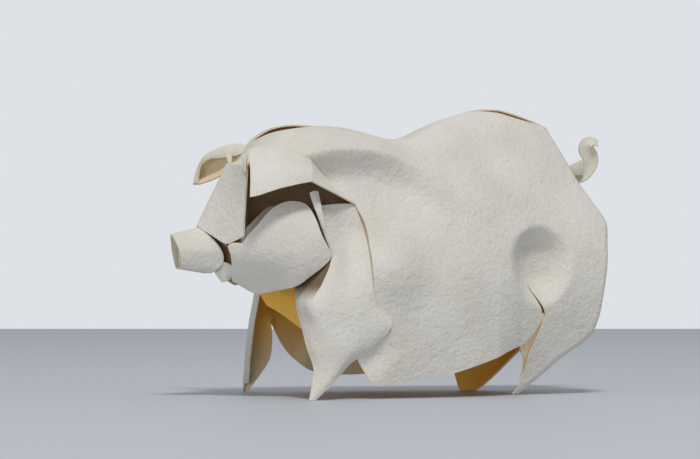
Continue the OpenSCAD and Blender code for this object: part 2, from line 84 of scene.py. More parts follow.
def paper_material(name, light, dark, grain=1.0, painted_light=None, up=(0.004, 0.024), aft=(0.0, 0.02)):
    """Cold-pressed paper: felt-like relief about a millimetre across, with faint cloudy colour.

    deep, a second colour of painted light and shade, sets in between the two heights up and the two lengths aft."""
    m = bpy.data.materials.new(name)
    m.use_nodes = True
    nodes, link = m.node_tree.nodes, m.node_tree.links.new
    nodes.clear()
    out = nodes.new("ShaderNodeOutputMaterial")
    bsdf = nodes.new("ShaderNodeBsdfPrincipled")
    for socket, value in (("Roughness", ROUGHNESS), ("Specular IOR Level", SPECULAR), ("Sheen Weight", SHEEN)):
        bsdf.inputs[socket].default_value = value
    link(bsdf.outputs["BSDF"], out.inputs["Surface"])
    where = nodes.new("ShaderNodeTexCoord").outputs["Object"]

    def cells(scale, detail, **more):
        texture = nodes.new("ShaderNodeTexNoise")
        for socket, value in {"Scale": scale, "Detail": detail, **more}.items():
            texture.inputs[socket].default_value = value
        link(where, texture.inputs["Vector"])
        return texture.outputs["Fac"]

    both = nodes.new("ShaderNodeMath")
    both.operation = "MULTIPLY_ADD"
    both.inputs[1].default_value = FLECK_SHARE
    link(cells(FLECK_CELLS, 2), both.inputs[0])
    link(cells(CLOUD_CELLS, 4), both.inputs[2])
    ramp = nodes.new("ShaderNodeValToRGB")
    first, last = ramp.color_ramp.elements
    first.position, first.color = DARK_AT, dark
    last.position, last.color = LIGHT_AT, light
    link(both.outputs[0], ramp.inputs["Fac"])
    colour = ramp.outputs["Color"]
    if painted_light is not None:
        axes = nodes.new("ShaderNodeSeparateXYZ")
        link(where, axes.inputs[0])
        most = nodes.new("ShaderNodeMath")
        most.operation = "MAXIMUM"
        for k, (axis, (low, high)) in enumerate((("Z", up), ("X", aft))):
            part = nodes.new("ShaderNodeMapRange")
            part.interpolation_type = "SMOOTHSTEP"
            part.inputs["From Min"].default_value = low
            part.inputs["From Max"].default_value = high
            link(axes.outputs[axis], part.inputs["Value"])
            link(part.outputs["Result"], most.inputs[k])
        tint = nodes.new("ShaderNodeMix")
        tint.data_type = "RGBA"
        tint.inputs["B"].default_value = painted_light
        link(most.outputs[0], tint.inputs["Factor"])
        link(colour, tint.inputs["A"])
        colour = tint.outputs["Result"]
    link(colour, bsdf.inputs["Base Color"])
    # the relief: felt-like cells on a broader one
    normal = None
    for fac, height in ((cells(BROAD_CELLS, 1.5), BROAD_HEIGHT),
                        (cells(FELT_CELLS, 2, Roughness=0.45, Distortion=0.6), FELT_HEIGHT)):
        bump = nodes.new("ShaderNodeBump")
        bump.inputs["Strength"].default_value = 1.0
        bump.inputs["Distance"].default_value = height * grain
        link(fac, bump.inputs["Height"])
        if normal is not None:
            link(normal, bump.inputs["Normal"])
        normal = bump.outputs["Normal"]
    link(normal, bsdf.inputs["Normal"])
    return m


IVORY = paper_material("ivory_paper", srgb(231, 228, 219), srgb(222, 218, 207))
# painted light: the sheet's inner side tinted as a warm glow, deeper gold higher up and towards the back, paler low at
# the front
PAINTED_GLOW = paper_material("inner_paper_painted_glow", srgb(236, 222, 190), srgb(226, 208, 172), grain=0.6, painted_light=srgb(246, 192, 84))
# painted light: a warm tan tint for the ear's underside and the hind leg's web
PAINTED_WARMTH = paper_material("ear_lining_painted_glow", srgb(246, 226, 194), srgb(236, 214, 178), grain=0.4)
SMOOTH = paper_material("pressed_paper", srgb(233, 229, 214), srgb(226, 220, 200), grain=0.3)
# painted shade: dark brown for the neck's inner layer and the throat, where shade falls
SHADE = paper_material("neck_painted_shade", srgb(138, 112, 84), srgb(118, 94, 68), grain=0.4)
DIM = paper_material("shaded_paper", srgb(176, 168, 154), srgb(164, 156, 142), grain=0.4)
# painted shade: ivory that turns brown above about 26 mm, for the near leg's turned-in faces
FOLD_SHADE = paper_material("inward_fold_painted_shade", srgb(229, 226, 216), srgb(220, 215, 203), grain=0.8,
                      painted_light=srgb(122, 102, 76), up=(0.0255, 0.0305), aft=(0.5, 0.6))
CREAM = paper_material("cut_edge", srgb(238, 226, 198), srgb(228, 212, 180), grain=0.4)
# Each panel's outer side, inner side and cut edge
SHEET = (IVORY, PAINTED_GLOW, CREAM)
WHITE = (IVORY, IVORY, CREAM)
SHADED_LINING = (SHADE, PAINTED_GLOW, CREAM)
ROLLED = (SMOOTH, SMOOTH, CREAM)
PRESSED = (SMOOTH, SMOOTH, SMOOTH)


# ---- curves and tables ----

def curve(p, t):
    """Smooth curve through the points p, at places t from 0 to the last point's number."""
    p, t = np.asarray(p, float), np.asarray(t, float)
    n = len(p)
    i = np.clip(np.floor(t).astype(int), 0, n - 2)
    f = (t - i)[..., None]
    a, b, c, d = p[np.maximum(i - 1, 0)], p[i], p[i + 1], p[np.minimum(i + 2, n - 1)]
    return 0.5 * (2 * b + (c - a) * f + (2 * a - 5 * b + 4 * c - d) * f * f + (3 * b - a - 3 * c + d) * f ** 3)


def straight(p, t):
    """The same points joined by straight lines."""
    p, t = np.asarray(p, float), np.asarray(t, float)
    i = np.clip(np.floor(t).astype(int), 0, len(p) - 2)
    return p[i] + (p[i + 1] - p[i]) * (t - i)[..., None]


def along(p, n, smooth=True):
    t = np.linspace(0, len(p) - 1, n + 1)
    return curve(p, t) if smooth else straight(p, t)


def run(p, step=0.5, smooth=True):
    """Points evenly spaced, about step apart, along a curve through p."""
    fine = along(p, 40 * (len(p) - 1), smooth)
    s = np.concatenate([[0], np.cumsum(np.linalg.norm(np.diff(fine, axis=0), axis=1))])
    n = max(2, int(round(s[-1] / step)))
    at = np.linspace(0, s[-1], n + 1)
    return np.stack([np.interp(at, s, fine[:, k]) for k in range(fine.shape[1])], axis=1)


def look(x, table):
    """A smooth curve through a table of x and value."""
    xs, ys = np.array(table, float).T
    x = np.clip(np.asarray(x, float), xs[0], xs[-1])
    m = np.empty_like(ys)
    m[1:-1] = (ys[2:] - ys[:-2]) / (xs[2:] - xs[:-2])
    m[0], m[-1] = (ys[1] - ys[0]) / (xs[1] - xs[0]), (ys[-1] - ys[-2]) / (xs[-1] - xs[-2])
    i = np.clip(np.searchsorted(xs, x) - 1, 0, len(xs) - 2)
    h = xs[i + 1] - xs[i]
    t = (x - xs[i]) / h
    return ((2 * t ** 3 - 3 * t ** 2 + 1) * ys[i] + (t ** 3 - 2 * t ** 2 + t) * h * m[i]
            + (3 * t ** 2 - 2 * t ** 3) * ys[i + 1] + (t ** 3 - t ** 2) * h * m[i + 1])


def hollow(q):
    """A hollow's depth over the distance q from its middle, from 1 to 0."""
    return np.where(q >= 1, 0, np.cos(np.pi / 2 * np.minimum(q, 1)) ** 2)


WAVE_CELL, WAVE_SHIFT = 9.0, 3.1


def noisy(p):
    """Smooth noise from -1 to 1 at the points p, with features about WAVE_CELL millimetres across."""
    return np.array([noise.noise(Vector(v)) for v in (p / WAVE_CELL + WAVE_SHIFT).tolist()])


# ---- body ----

# Height of the back, and half the body's width, over x
BACK = [
    (-48, 64), (-41, 67.4), (-39.4, 69.4), (-35.1, 71.9), (-29.4, 73.1), (-22.7, 73.3), (-16.4, 72.8), (-10.5, 71.7),
    (-4.7, 70.4), (-0.3, 70), (4.2, 70.9), (8.6, 73), (14.6, 75.6), (22, 77.8), (26.5, 78.5), (31.1, 78.5), (34.1, 78),
    (40.2, 76.3), (46.6, 74), (62, 69)]
HALF = [
    (-48, 17), (-41, 20), (-30, 25), (-20, 26.3), (-10, 26.8), (5, 26.4), (18, 25.2), (30, 23.4), (40, 21.8), (50, 21),
    (58.5, 20.3), (64, 20)]
# How square the cross-section's shoulders are, from 0 to 1
SQUARE = [(-41, 0.7), (-34, 1), (-8, 1), (2, 0.75), (12, 0.4), (26, 0.1), (60, 0.1)]
# Height of the soft ridge over the shoulder's dent
RIDGE = [(-31, 65), (-20, 67), (-7, 66), (3, 61), (11, 53.5), (16, 50)]
WIDEST = 0.62  # the place down the flank, from 0 to 1, where the body is widest

# The dent behind the shoulder: depth, distance under the ridge, where it begins to fade and over what length,
# and its reach above and below its middle
DENT, DENT_DROP, DENT_FADE_X, DENT_FADE, DENT_ABOVE, DENT_BELOW = 7.8, 9.8, -12, 28, 9.6, 26
# The belly's swell behind the front leg, and the thumb dent over the hind leg: depth, middle and reach
FLARE, FLARE_X, FLARE_Z, FLARE_REACH = 1.7, -9, 34, 13
THUMB, THUMB_X, THUMB_Z, THUMB_ALONG, THUMB_ABOVE, THUMB_BELOW = 6.4, 35.7, 36.5, 10.3, 10.6, 13
# The short pleat by the front leg's foot, and how far the hind leg leans in at the floor
PLEAT, LEG_LEAN = 1.5, 6.5

# The slits where the flanks' top edges stand apart: where each starts, its length, and the widest half gap
RUMP_SLIT, NECK_SLIT, SLIT_HALF = (20, 27), (-22, 20), 0.6
# How much the top edge of the near and the far flank rises at a slit
SLIT_LIFT = {-1: -0.8, 1: 0.4}


def back(x):
    return look(x, BACK)


def parting(x):
    """How far the slits are open at x, from 0 to 1."""
    (rump_x, rump_length), (neck_x, neck_length) = RUMP_SLIT, NECK_SLIT
    a = np.maximum(0, np.sin(np.pi * np.clip((x - rump_x) / rump_length, 0, 1) ** 1.35)) ** 1.4
    b = np.maximum(0, np.sin(np.pi * np.clip((neck_x - x) / neck_length, 0, 1)))
    return np.where(x > rump_x, a, b)


def section(t, r):
    """The cross-section's half width, from the back at t = 0 to its widest at t = 1. r makes it squarer."""
    u = np.clip(1 - t, 0, 1)
    inner = (1 - r) * (1 - u ** 1.75) + r * (1 - u ** 2.8) ** (1 / 2.8)
    return np.where(t >= 1, 1 - 0.2 * (t - 1) ** 2, inner)


def flank_y(x, v):
    """Distance of the flank from the middle, at x and v, where v runs from 0 at the back to 1 at the floor."""
    z = back(x) * (1 - v)
    d = look(x, RIDGE) - z - DENT_DROP
    dent = DENT * hollow(np.maximum(0, x - DENT_FADE_X) / DENT_FADE) * np.where(
        d < 0, np.cos(np.pi / 2 * np.clip(-d / DENT_ABOVE, 0, 1)) ** 1.2, hollow(d / DENT_BELOW))
    flare = FLARE * hollow(np.hypot((x - FLARE_X) / FLARE_REACH, (z - FLARE_Z) / FLARE_REACH))
    thumb = THUMB * hollow(np.hypot(
        (x - THUMB_X) / THUMB_ALONG, (z - THUMB_Z) / np.where(z > THUMB_Z, THUMB_ABOVE, THUMB_BELOW)) ** 1.6)
    pleat = PLEAT * hollow(np.hypot((x + 14.5 - 0.35 * (z - 10)) / 6.5, (z - 11) / 8))
    lean = LEG_LEAN * np.maximum(0, 1 - z / 40) ** 1.5 * np.clip((x - 22) / 8, 0, 1)
    wide = look(x, HALF) * section(v / WIDEST, np.clip(look(x, SQUARE), 0, 1))
    return wide - (dent + thumb + pleat - flare) * np.minimum(1, v * 10) - lean


def flank_at(x, z):
    x, z = np.asarray(x, float), np.asarray(z, float)
    return flank_y(x, 1 - z / back(x))


def on(s, x, z, d=0.0):
    """A point on the flank, d further out."""
    return [x, s * (float(flank_at(x, z)) + d), z]


def flank_point(s, x, v):
    p, edge = parting(x), np.maximum(0, 1 - v * 9)
    lift = SLIT_LIFT[s] * p * edge ** 2
    return np.stack([x, s * (flank_y(x, v) + p * SLIT_HALF * edge), back(x) * (1 - v) + lift], axis=-1)


# ---- meshes ----

PIECES = []


def normals(P, F):
    """The points' normals, each face weighted by its area."""
    a, b, c = (P[F[:, k]] for k in range(3))
    w = np.cross(b - a, c - a)
    if F.shape[1] == 4:
        w = w + np.cross(c - a, P[F[:, 3]] - a)
    N = np.zeros_like(P)
    for k in range(F.shape[1]):
        np.add.at(N, F[:, k], w)
    return N / np.maximum(np.linalg.norm(N, axis=1), 1e-12)[:, None]


def solid(name, P, F, outward, thick=PAPER, wave=0.0, mats=SHEET):
    """A sheet of paper with its middle on the mesh P, F, bent by soft waves.

    outward points to the side that shows mats[0]. It is a direction, or a function of the points."""
    P = np.asarray(P, float).reshape(-1, 3)
    N = normals(P, F)
    toward = outward(P) if callable(outward) else np.asarray(outward, float)
    if (N * toward).sum(1).mean() < 0:
        F, N = F[:, ::-1], -N
    if wave:
        P = P + N * (wave * noisy(P))[:, None]
        N = normals(P, F)
    k = len(P)
    # both sides of the sheet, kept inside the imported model's box
    V = np.clip(np.concatenate([P + N * (thick / 2), P - N * (thick / 2)]), BOX_LOW, BOX_HIGH)
    # the rim's edges are those that no second face runs along the other way
    e = np.concatenate([F[:, [i, (i + 1) % F.shape[1]]] for i in range(F.shape[1])]).astype(np.int64)
    rim = e[~np.isin(e[:, 0] * k + e[:, 1], e[:, 1] * k + e[:, 0])]
    sides = np.stack([rim[:, 0], rim[:, 0] + k, rim[:, 1] + k, rim[:, 1]], axis=1)
    me = bpy.data.meshes.new(name)
    me.from_pydata((V * MM).tolist(), [], F.tolist() + (F[:, ::-1] + k).tolist() + sides.tolist())
    for m in mats:
        me.materials.append(m)
    index = np.repeat(np.arange(3, dtype=np.int32), [len(F), len(F), len(sides)])
    me.polygons.foreach_set("material_index", index)
    me.polygons.foreach_set("use_smooth", np.ones(len(index), bool))
    ev = np.empty(len(me.edges) * 2, np.int32)
    me.edges.foreach_get("vertices", ev)
    ev = np.sort(ev.reshape(-1, 2), axis=1).astype(np.int64)
    cut_edge = np.sort(rim, axis=1)
    cut_edge = np.concatenate([cut_edge, cut_edge + k])
    sharp = np.isin(ev[:, 0] * 2 * k + ev[:, 1], cut_edge[:, 0] * 2 * k + cut_edge[:, 1])
    me.attributes.new("sharp_edge", "BOOLEAN", "EDGE").data.foreach_set("value", sharp)
    me.update()
    me.validate()
    o = bpy.data.objects.new(name, me)
    bpy.context.collection.objects.link(o)
    PIECES.append(o)
    return o


def grid_faces(m, n):
    i, j = np.meshgrid(np.arange(m - 1), np.arange(n - 1), indexing="ij")
    a = (i * n + j).ravel()
    return np.stack([a, a + n, a + n + 1, a + 1], axis=1)


def soften(G, k):
    """Rounds a grid's folds a little, k times over. Its corners stay."""
    for _ in range(k):
        H = G.copy()
        H[1:-1] = (G[:-2] + 2 * G[1:-1] + G[2:]) / 4
        G = H.copy()
        G[:, 1:-1] = (H[:, :-2] + 2 * H[:, 1:-1] + H[:, 2:]) / 4
    return G


def grow(G, far):
    """Makes a grid longer past the start of its rows."""
    v = G[:, :1] - G[:, 1:2]
    length = np.maximum(np.linalg.norm(v, axis=-1, keepdims=True), 1e-9)
    return np.concatenate([G[:, :1] + far * v / length, G], axis=1)


def rows_grid(rows, nu, nv, smooth_down=True, smooth_rows=True):
    """A grid through rows of points: nv steps along each row, and nu from the first row to the last."""
    fine = np.stack([along(np.array(r, float), nv, smooth_rows) for r in rows])
    return np.stack([along(fine[:, j], nu, smooth_down) for j in range(nv + 1)], axis=1)


def ruled(a, b, lift, nu, nv, smooth=True):
    """A grid between the curves a and b, swelled by lift in its middle."""
    A, B = along(a, nu, smooth), along(b, nu, smooth)
    t = np.linspace(0, 1, nv + 1)[None, :, None]
    rise = np.maximum(np.sin(np.pi * np.linspace(0, 1, nu + 1)), 0) ** 0.7
    return A[:, None] * (1 - t) + B[:, None] * t + np.array(lift, float) * 4 * t * (1 - t) * rise[:, None, None]


def panel(name, G, outward, **kw):
    return solid(name, G, grid_faces(G.shape[0], G.shape[1]), outward, **kw)


def folded(name, rows, nu, nv, outward, rounding=1, **kw):
    """A panel through rows of points, with its folds rounded."""
    return panel(name, soften(rows_grid(rows, nu, nv), rounding), outward, **kw)


def inside(q, poly):
    x, z = q[:, 0], q[:, 1]
    hit = np.zeros(len(q), bool)
    for (x1, z1), (x2, z2) in zip(poly, np.roll(poly, -1, axis=0)):
        cross = (z1 > z) != (z2 > z)
        hit ^= cross & (x < (x2 - x1) * (z - z1) / (z2 - z1 + 1e-30) + x1)
    return hit


def clear_of(q, starts, ends):
    """Distance of points q from the lines that join starts to ends."""
    best = np.full(len(q), 1e9)
    for a, b in zip(starts, ends):
        d = b - a
        t = np.clip(((q - a) @ d) / max(d @ d, 1e-12), 0, 1)
        best = np.minimum(best, np.linalg.norm(q - a - t[:, None] * d, axis=1))
    return best


# In steps: the shortest side of a cut outline, the height of a row of its triangles, and their rows' margin
SHORTEST, ROW_HEIGHT, MARGIN = 0.15, 0.866, 0.55


def cut(poly, step):
    """Triangles that fill the outline poly, with points about step apart."""
    poly = np.asarray(poly, float)
    keep = np.linalg.norm(np.diff(poly, axis=0, append=poly[:1]), axis=1) > step * SHORTEST
    poly = poly[keep]
    lo, hi = poly.min(0), poly.max(0)
    xs = np.arange(lo[0], hi[0] + step, step)
    zs = np.arange(lo[1], hi[1] + step, step * ROW_HEIGHT)
    q = np.array([(x + (0.5 * step if k % 2 else 0), z) for k, z in enumerate(zs) for x in xs])
    q = q[inside(q, poly)]
    q = q[clear_of(q, poly, np.roll(poly, -1, axis=0)) > step * MARGIN]
    pts = [Vector(p) for p in np.concatenate([poly, q]).tolist()]
    m = len(poly)
    vs, _, fs, _, _, _ = delaunay_2d_cdt(pts, [(i, (i + 1) % m) for i in range(m)], [], 1, 1e-6)
    return np.array([tuple(v) for v in vs]), np.array(fs)


# ---- the two flanks ----

# Length down the flank over v, so that the cut sheet's triangles come out even
v_fine = np.linspace(0, 1.03 ** (1 / 3), 3000) ** 3
arc_y = 25 * section(v_fine / WIDEST, 0.55)
arc_z = 74 * (1 - v_fine)
ARC = np.concatenate([[0], np.cumsum(np.hypot(np.diff(arc_y), np.diff(arc_z)))])


def s_of_v(v):
    return np.interp(v, v_fine, ARC)


def v_of_s(s):
    return np.interp(s, ARC, v_fine)


# The flanks' outlines, as x and z, stretch by stretch
REAR = [
    (46.6, 73.8), (49.1, 66.8), (51.6, 59.7), (55, 53.6), (58.5, 47.5), (57.7, 41.9), (56.9, 36.4), (55.8, 28.7),
    (54.7, 21.7), (53.3, 17.3)]
REAR_TOP, REAR_LOW = REAR[:5], REAR[4:]
HEEL = [(53.3, 17.3), (49.7, 14), (43.8, 10), (38.7, 5.7), (34.2, 2.2), (31, 0.05)]
NEAR_LEG = [
    (29.9, 0.2), (31.3, 2.7), (32.5, 6.3), (33.2, 10.7), (34.7, 14.2), (36, 17.8), (37.2, 20.5), (37.2, 22.7),
    (35.1, 26.5), (33.1, 29.8)]
NEAR_BELLY = [
    (32.9, 29.6), (34.6, 26.2), (36.3, 22.6), (36.1, 20.3), (34, 16.8), (30.6, 13.8), (26, 12.2), (18.8, 9.6),
    (7.8, 6.4), (-1.2, 5.1), (-10.3, 3.6), (-13.5, 3.5), (-15.2, 4.5), (-17.7, 8.2), (-19.4, 10.9)]
FAR_LEG = [(30, 0.05), (27.4, 0.05), (26.8, 4.5), (26, 8.5)]
FAR_BELLY = [(18.8, 7.6), (7.8, 5.4), (-4, 4.6), (-14, 5.7), (-19.1, 8.9), (-23, 13.2), (-26.9, 20.8)]
NEAR_FRONT = [
    (-15, 14.6), (-10.2, 18.3), (-11.3, 19.6), (-13.6, 23.6), (-15.2, 30.2), (-15.4, 38.2), (-15.3, 46.2), (-17.2, 52)]
FAR_FRONT = [(-24, 25), (-18, 32), (-15.4, 38.2), (-15.3, 46.2), (-17.2, 52)]
NECK_EDGE = [(-17.2, 52), (-29, 60.8), (-33.4, 61.6), (-39.9, 64.4), (-41, 65)]
TOP_EDGE = (-40.9, 46.5)
TURN_RADIUS, TURN_FROM = 1.1, 30  # the sheet turns in over this radius along the back end, past this x


def outline(parts, step):
    """One line of points through stretches, each a list of points and whether it is smooth."""
    pts = []
    for p, smooth in parts:
        r = run(p, step, smooth)
        if pts and np.linalg.norm(pts[-1] - r[0]) < 0.05:
            r = r[1:]
        pts.extend(list(r))
    return np.array(pts)


def flank(name, s, parts, step):
    o = outline(parts, step)
    o = np.stack([o[:, 0], s_of_v(np.clip(1 - o[:, 1] / back(o[:, 0]), 0, 1.02))], axis=1)
    x = np.arange(*TOP_EDGE, step)
    q, F = cut(np.concatenate([np.stack([x, np.zeros_like(x)], axis=1), o]), step)
    P = flank_point(s, q[:, 0], v_of_s(q[:, 1]))
    fold = np.concatenate([run(p, 0.5) for p in (REAR_TOP, REAR_LOW, HEEL)])
    rear = P[:, 0] > TURN_FROM
    d = np.full(len(P), np.inf)
    d[rear] = clear_of(P[rear][:, [0, 2]], fold[:-1], fold[1:])
    d = np.minimum(d, TURN_RADIUS)
    P[:, 1] -= s * (TURN_RADIUS - np.sqrt(np.maximum(TURN_RADIUS ** 2 - (TURN_RADIUS - d) ** 2, 0)))
    solid(name, P, F, (0, s, 0.35), wave=0.16)


def rump():
    """The back end, folded in along its middle."""
    rows = []
    for x, h in run(REAR, 0.8):
        y = max(0.4, float(flank_at(x, h)) - TURN_RADIUS)
        k, a = min(1, (74 - h) / 10), max(0, 1 - h / 40) ** 2 * 3
        rows.append(along([
            (x, -y, h), (x - 1.2 * k, -y * 0.6, h + 4 * a), (x - 4 * k, 0, h + 7 * a),
            (x - 1.2 * k, y * 0.6, h + 4 * a), (x, y, h)], 60, False))
    panel("rump", soften(np.array(rows), 3), (1, 0, 0), wave=0.15)


def hind_flange(name, s):
    """The flange folded in along the back of a hind leg, narrower towards its foot."""
    pts = run(HEEL, 0.7)
    rows = []
    for i, (x, z) in enumerate(pts):
        k = 1 - i / (len(pts) - 1)
        y, f = float(flank_at(x, z)) - 0.6, 6 * (0.16 + 0.84 * k)
        rows.append(along([
            (x, s * y, z), (x - 0.5 * k, s * (y - f / 2), z + 0.8 * k),
            (x - 1.2 * k, s * (y - f), z + 1.6 * k + 0.2)], 14))
    panel(name, np.array(rows), (0.6, 0, -0.8), wave=0.05)


def leg_web():
    """The inner layer that shows between the near hind leg and the belly, tinted tan as painted warm light."""
    def near(p, d):
        return [(x, d - float(flank_at(x, z)), z) for x, z in p]
    front = near([(37.6, 22.6), (36.9, 17.2), (34.6, 10.9), (32.7, 4.8)], 0.25)
    rear = near([(35.9, 22.2), (30.6, 14.2), (32.1, 9.8), (31.8, 4.9)], 0.5)
    panel("leg_web", ruled(front, rear, (0, 0.5, 0), 40, 12), (0, -1, 0), mats=(PAINTED_WARMTH, PAINTED_WARMTH, CREAM))


flank("near_flank", -1, [
    (REAR_TOP, True), (REAR_LOW, True), (HEEL, True), (NEAR_LEG, True), (NEAR_BELLY, True), (NEAR_FRONT, True),
    (NECK_EDGE, False)], step=0.62)
flank("far_flank", 1, [
    (REAR_TOP, True), (REAR_LOW, True), (HEEL, True), (FAR_LEG, False), (FAR_BELLY, True), (FAR_FRONT, True),
    (NECK_EDGE, False)], step=0.8)
rump()
for s, side in SIDES:
    hind_flange(side + "_hind_flange", s)
leg_web()

# ---- shoulders and front legs ----

NEAR_LEG_ROWS = [
    [on(-1, -16.6, 51.9, -0.6), (-21.6, -18.2, 51.9), (-27.6, -18.4, 51.4), (-29.6, -15.6, 51.6), (-31.5, -12, 52)],
    [on(-1, -13.6, 45.4, -1.7), (-19.6, -18.4, 45), (-26.6, -19, 46), (-29, -16.4, 46.3), (-31.5, -12.4, 46.6)],
    [on(-1, -13.6, 38, -1.3), (-19.4, -21.6, 37.8), (-24.7, -22.2, 37.7), (-27.8, -18.2, 38.6), (-31, -12.5, 39.6)],
    [on(-1, -13.2, 30.2, -0.6), (-20.6, -25.2, 30.5), (-27.6, -24.4, 30.8), (-30.6, -18.4, 31.6), (-32.2, -13, 32.4)],
    [on(-1, -11.9, 24.4, -0.45), (-21.6, -27, 24.7), (-31.4, -25.8, 24.9), (-33, -20.4, 25), (-32.8, -15.6, 25.1)],
    [on(-1, -10.7, 19.2, 0.55), (-21, -27.3, 19.3), (-29, -26.8, 19.5), (-32, -23.5, 19.7), (-32.9, -19.8, 19.9)],
    [on(-1, -15.6, 14, 0.7), (-21.5, -27.6, 14), (-27, -27.3, 14), (-31, -25.2, 14), (-32.5, -22.9, 14)],
    [on(-1, -21.7, 9.4, 0.4), (-24.2, -27.3, 9.2), (-27, -27.4, 9), (-29.6, -26.4, 8.8), (-31.3, -24.8, 8.7)],
    [(-26.3, -27.2, 5), (-27.6, -27.7, 5), (-29, -27.8, 5), (-30.5, -27.2, 5), (-31.9, -26, 5)],
    [(-29.5, -27.8, 2.4), (-30.3, -28, 2.4), (-31.1, -28, 2.4), (-31.9, -27.7, 2.4), (-32.7, -27, 2.4)],
    [(-32.4, -28.05, 0.05), (-32.7, -28.1, 0.05), (-33, -28.1, 0.05), (-33.3, -28.05, 0.05), (-33.6, -27.95, 0.05)]]
FAR_LEG_ROWS = [
    [on(1, -17.2, 52), (-22.2, 16.8, 52.6), (-28.2, 14.6, 54), (-30, 13, 54.4), (-31.5, 11, 54.6)],
    [on(1, -15.3, 45.4), (-20.8, 18, 45), (-26.6, 18.2, 46), (-29, 15.6, 46.3), (-31.5, 12, 46.6)],
    [on(1, -15.4, 38), (-20, 21.8, 37.8), (-25.4, 21.6, 37.7), (-29, 18, 38), (-32.5, 13, 38.4)],
    [on(1, -18, 31.5), (-21.5, 25.6, 31.8), (-26.5, 23.6, 32.2), (-30.6, 19.4, 32.4), (-33.6, 14.6, 32.6)],
    [on(1, -24.2, 24.8), (-26.5, 25, 25.6), (-29.3, 24, 26.4), (-32, 20.4, 26.6), (-34.1, 16.4, 26.8)],
    [(-27.6, 22.6, 20.4), (-29, 23.8, 20.6), (-30.6, 24.4, 20.6), (-32.6, 22.6, 20.4), (-34.3, 19.6, 20.3)],
    [(-26.9, 24.2, 14.5), (-28.8, 25.8, 14.5), (-30.6, 26.2, 14.4), (-32.6, 24.8, 14.3), (-34.2, 22.4, 14.2)],
    [(-27, 25.6, 9.8), (-28.8, 26.8, 9.8), (-30.4, 27.2, 9.8), (-32.4, 26.4, 9.8), (-34, 24.6, 9.8)],
    [(-28.6, 26.4, 6.4), (-29.9, 27.2, 6.4), (-31.2, 27.5, 6.4), (-32.5, 27, 6.4), (-33.8, 25.8, 6.4)],
    [(-31.2, 27.4, 2.6), (-31.8, 27.8, 2.6), (-32.4, 28, 2.6), (-33.1, 27.7, 2.6), (-33.7, 27.2, 2.6)],
    [(-32.9, 27.9, 0.05), (-33.1, 28, 0.05), (-33.4, 28, 0.05), (-33.7, 27.9, 0.05), (-34, 27.8, 0.05)]]
LEG_ROOT = 0.5  # how far a front leg's rows reach in under the flank
LEG_DOWN, LEG_ROUND = 110, 56  # the near leg's steps, down and round
LEG_TURN = 30  # the step round the near leg past which the sheet is turned in and gets painted shade


def front_legs():
    G = grow(rows_grid(NEAR_LEG_ROWS, LEG_DOWN, LEG_ROUND), LEG_ROOT)
    faces_round = G.shape[1] - 1
    leg = panel("near_leg", soften(G, 1), (0, -1, 0), wave=0.12)
    # painted shade: the faces turned in past LEG_TURN get a material that browns towards their top
    leg.data.materials.append(FOLD_SHADE)
    painted_shade_slot = len(leg.data.materials) - 1
    for i in range(LEG_DOWN * faces_round):
        if i % faces_round > LEG_TURN:
            leg.data.polygons[i].material_index = painted_shade_slot
    panel("far_leg", soften(grow(rows_grid(FAR_LEG_ROWS, 90, 44), LEG_ROOT), 1), (0, 1, 0), wave=0.1)
    edge = np.array([r[4] for r in FAR_LEG_ROWS[3:10]])
    strip = ruled(edge + (-0.3, -0.1, 0), edge + (1, -1.3, 0), (0, -0.2, 0), 60, 6)
    panel("far_leg_edge", strip, (0, -1, 0), mats=WHITE)


front_legs()

# ---- head ----

CHEEK = [
    (-50, 40.4), (-49.3, 41.4), (-46.9, 41.4), (-45.7, 43.4), (-44.2, 45.3), (-40.4, 49.7), (-37, 51.9), (-33.8, 52.4),
    (-30.8, 51.4), (-29.3, 48), (-27.9, 43), (-25.1, 38.1), (-26.9, 35.9), (-30.6, 32.8), (-33.9, 30.1), (-38.2, 28.7),
    (-40.4, 28), (-42.2, 28.3), (-45, 30), (-47.5, 31.4), (-48.2, 33.4), (-48.9, 36.2), (-49.6, 39), (-50, 40.4)]
FAR_CHEEK_RISE = 2.2  # the far cheek's lower edge is raised, so that it hides behind the near one


def cheek_y(x, z):
    """Distance of a cheek from the middle: a swell that narrows towards the chin."""
    r = ((x + 38) / 14.5) ** 2 + ((z - 39.5) / 13.5) ** 2
    chin = np.maximum(0, 40 - z) ** 2 * 0.07 * np.clip((-35 - x) / 10, 0, 1)
    return 7.6 + 0.55 * (x + 50) + 6 * (1 - r) - chin


def cy(x, z):
    return float(cheek_y(np.float64(x), np.float64(z)))


def cheek(name, s):
    low = CHEEK[11:20]
    if s > 0:
        low = [(x, z + FAR_CHEEK_RISE * float(hollow(abs(x + 39.5) / 13))) for x, z in low]
    parts = [(CHEEK[:3], True), (CHEEK[2:12], True), (low[:6], True), (low[5:], True), (low[-1:] + CHEEK[20:], True)]
    q, F = cut(outline(parts, 0.5)[:-1], 0.5)
    solid(name, np.stack([q[:, 0], s * cheek_y(q[:, 0], q[:, 1]), q[:, 1]], axis=1), F, (0, s, 0), wave=0.12)


def neck(name, s):
    """The neck's inner layer, between the face, the ear and the shoulder, coloured dark brown as painted shade."""
    top, mid = ((-45.3, -11.6, 61.6), (-45.9, -12.2, 54)) if s < 0 else ((-42.4, 9.6, 61.6), (-44.9, 12.2, 54))
    folded(name, [
        [top, (-41.6, s * 7.4, 62.4), (-36, s * 10.6, 65), (-29.5, s * 13.4, 62.5), (-25.4, s * 14.6, 58),
         (-21.4, s * 14.4, 56), (-16.6, s * 14.6, 55)],
        [mid, (-43.2, s * 8, 54), (-37, s * 9, 53), (-31, s * 10, 52), (-26, s * 12.6, 50.4),
         (-21, s * 14.6, 47), (-16, s * 16, 47)],
        [(-46.8, s * 12.9, 43), (-44, s * 9.6, 40), (-38, s * 10.6, 38.5), (-32.4, s * 12.4, 37.5), (-27.4, s * 16, 37),
         (-20.4, s * 18.6, 37.6), (-16, s * 20, 38)]], 44, 72, (0, s, 0), 0, wave=0.05, mats=SHADED_LINING)


